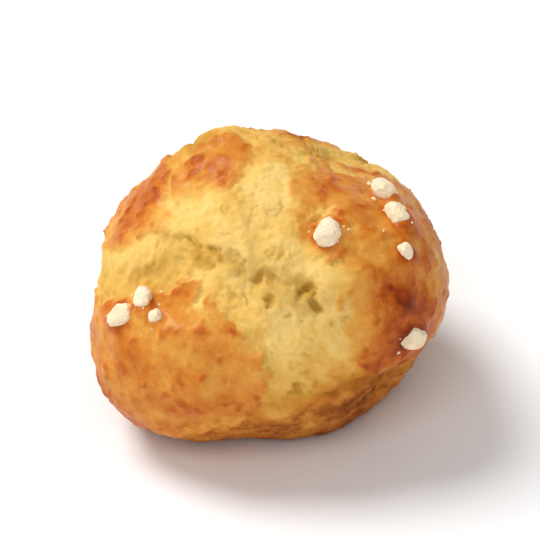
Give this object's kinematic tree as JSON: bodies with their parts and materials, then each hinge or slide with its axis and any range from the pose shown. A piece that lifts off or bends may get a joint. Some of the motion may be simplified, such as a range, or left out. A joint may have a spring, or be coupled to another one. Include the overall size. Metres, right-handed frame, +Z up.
{
  "type": "chouquette",
  "caption": "Small hollow-baked choux puff, lobed and golden brown with paler torn seams, studded with nibs of pearl sugar, on a flat base.",
  "frame": {"origin": "on the surface it rests on, under the middle of the whole piece, nibs included", "axes": "+Z up from the flat base to the crown; +X to the right along the longest side; -Y towards the front, where the wide torn seam is"},
  "size_m": [0.045, 0.0432, 0.035],
  "materials": {
    "choux_crust": "satin",
    "pearl_sugar": "matte"
  },
  "bodies": {
    "root": {"choux_bun": "choux_crust", "pearl_sugar_01": "pearl_sugar", "pearl_sugar_02": "pearl_sugar", "pearl_sugar_03": "pearl_sugar", "pearl_sugar_04": "pearl_sugar", "pearl_sugar_05": "pearl_sugar", "pearl_sugar_06": "pearl_sugar", "pearl_sugar_07": "pearl_sugar", "pearl_sugar_08": "pearl_sugar", "pearl_sugar_09": "pearl_sugar", "pearl_sugar_10": "pearl_sugar", "pearl_sugar_11": "pearl_sugar", "pearl_sugar_12": "pearl_sugar", "pearl_sugar_13": "pearl_sugar", "pearl_sugar_14": "pearl_sugar", "pearl_sugar_15": "pearl_sugar", "pearl_sugar_16": "pearl_sugar", "pearl_sugar_17": "pearl_sugar", "pearl_sugar_18": "pearl_sugar"}
  },
  "joints": []
}
